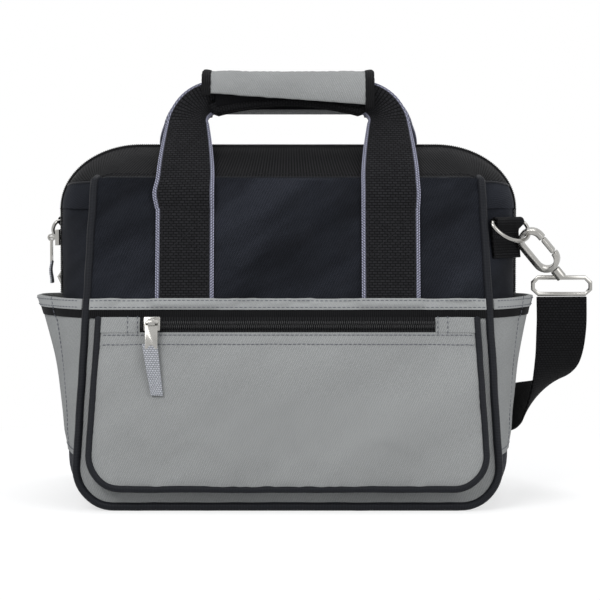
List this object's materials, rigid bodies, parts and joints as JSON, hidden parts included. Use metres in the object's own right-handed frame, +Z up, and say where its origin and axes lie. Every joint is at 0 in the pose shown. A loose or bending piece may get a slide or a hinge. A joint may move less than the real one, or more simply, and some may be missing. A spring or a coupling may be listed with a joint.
{
  "type": "tool tote bag",
  "caption": "Wide-mouth fabric tool tote with a zipped front pocket, open side pockets, padded webbing handles and a clip-on shoulder strap.",
  "frame": {"origin": "centre of the flat underside of the base", "axes": "+X to the right seen from the front, -Y out of the front pocket, +Z up"},
  "size_m": [0.4207, 0.251, 0.3229],
  "materials": {
    "grey_cloth": "woven",
    "black_cloth": "woven",
    "webbing": "ribbed weave",
    "trim": "satin",
    "zip": "ribbed weave",
    "tail_tape": "woven",
    "board": "matte",
    "nickel": "polished"
  },
  "bodies": {
    "root": {"base_panel": "black_cloth", "front_upper_panel": "black_cloth", "rear_upper_panel": "black_cloth", "left_gusset": "black_cloth", "right_gusset": "black_cloth", "base_board": "board", "strap_adjuster": "board", "front_lower_panel": "grey_cloth", "rear_lower_panel": "grey_cloth", "front_band": "grey_cloth", "rear_band": "grey_cloth", "left_pocket": "grey_cloth", "right_pocket": "grey_cloth", "left_pocket_band": "grey_cloth", "right_pocket_band": "grey_cloth", "pocket_face": "grey_cloth", "pocket_gusset": "grey_cloth", "pocket_zip_end_left": "grey_cloth", "pocket_zip_end_right": "grey_cloth", "front_piping": "trim", "rear_piping": "trim", "front_ribbon": "trim", "left_pocket_ribbon": "trim", "right_pocket_ribbon": "trim", "pocket_piping": "trim", "left_zip_chain": "zip", "right_zip_chain": "zip", "pocket_zip_tape": "zip", "pocket_zip_teeth": "zip", "front_handle_leg_left": "webbing", "front_handle_leg_right": "webbing", "rear_handle_leg_left": "webbing", "rear_handle_leg_right": "webbing", "left_ring_tab": "webbing", "right_ring_tab": "webbing", "shoulder_strap": "webbing", "left_snap_hook": "nickel", "right_snap_hook": "nickel", "left_swivel_loop": "nickel", "right_swivel_loop": "nickel"},
    "front_mouth": {"front_mouth_panel": "black_cloth", "front_mouth_tape": "zip", "front_zip_teeth": "zip"},
    "front_handle": {"front_handle_webbing": "webbing", "front_grip_pad": "grey_cloth"},
    "rear_mouth": {"rear_mouth_panel": "black_cloth", "rear_mouth_tape": "zip", "rear_zip_teeth": "zip"},
    "rear_handle": {"rear_handle_webbing": "webbing", "rear_grip_pad": "grey_cloth"},
    "left_ring": {"left_d_ring": "nickel"},
    "left_gate": {"left_hook_gate": "nickel"},
    "right_ring": {"right_d_ring": "nickel"},
    "right_gate": {"right_hook_gate": "nickel"},
    "pocket_slider": {"pocket_slider": "nickel"},
    "pocket_pull": {"pocket_pull": "nickel", "pocket_pull_tail": "tail_tape"},
    "main_slider": {"main_slider": "nickel"},
    "main_pull": {"main_pull": "nickel", "main_pull_tail": "tail_tape"}
  },
  "joints": [
    {"name": "front_mouth_fold", "type": "hinge", "parent": "root", "child": "front_mouth", "pos_m": [0, -0.05213, 0.21853], "axis": [1, 0, 0], "range_deg": [0, 55]},
    {"name": "rear_mouth_fold", "type": "hinge", "parent": "root", "child": "rear_mouth", "pos_m": [0, 0.05213, 0.21853], "axis": [-1, 0, 0], "range_deg": [0, 55]},
    {"name": "front_handle_swing", "type": "hinge", "parent": "front_mouth", "child": "front_handle", "pos_m": [0, -0.05213, 0.21853], "axis": [1, 0, 0], "range_deg": [0, 110]},
    {"name": "rear_handle_swing", "type": "hinge", "parent": "rear_mouth", "child": "rear_handle", "pos_m": [0, 0.05213, 0.21853], "axis": [-1, 0, 0], "range_deg": [0, 110]},
    {"name": "pocket_zip_travel", "type": "slide", "parent": "root", "child": "pocket_slider", "axis": [1, 0, 0], "range_m": [0, 0.198]},
    {"name": "pocket_pull_swing", "type": "hinge", "parent": "pocket_slider", "child": "pocket_pull", "pos_m": [-0.099, -0.08077, 0.13571], "axis": [-1, 0, 0], "range_deg": [0, 150]},
    {"name": "main_zip_travel", "type": "slide", "parent": "root", "child": "main_slider", "axis": [0, 0, 1], "range_m": [0, 0.015]},
    {"name": "main_pull_swing", "type": "hinge", "parent": "main_slider", "child": "main_pull", "pos_m": [-0.18087, 0, 0.196], "axis": [0, 1, 0], "range_deg": [0, 150]},
    {"name": "right_ring_swing", "type": "hinge", "parent": "root", "child": "right_ring", "pos_m": [0.16432, -0.03235, 0.2084], "axis": [-0.5947, -0.8039, 0], "range_deg": [0, 4]},
    {"name": "left_ring_swing", "type": "hinge", "parent": "root", "child": "left_ring", "pos_m": [-0.16432, 0.03235, 0.2084], "axis": [0.5947, 0.8039, 0], "range_deg": [0, 1.2]},
    {"name": "right_gate_press", "type": "hinge", "parent": "root", "child": "right_gate", "pos_m": [0.19878, -0.0275, 0.18688], "axis": [-0.3076, -0.8805, -0.3608], "range_deg": [0, 25], "stiffness_Nm_per_rad": 0.02, "springref_deg": -28.65},
    {"name": "left_gate_press", "type": "hinge", "parent": "root", "child": "left_gate", "pos_m": [-0.16861, 0.06725, 0.18696], "axis": [0.7553, 0.5118, 0.4093], "range_deg": [0, 25], "stiffness_Nm_per_rad": 0.02, "springref_deg": -28.65}
  ]
}
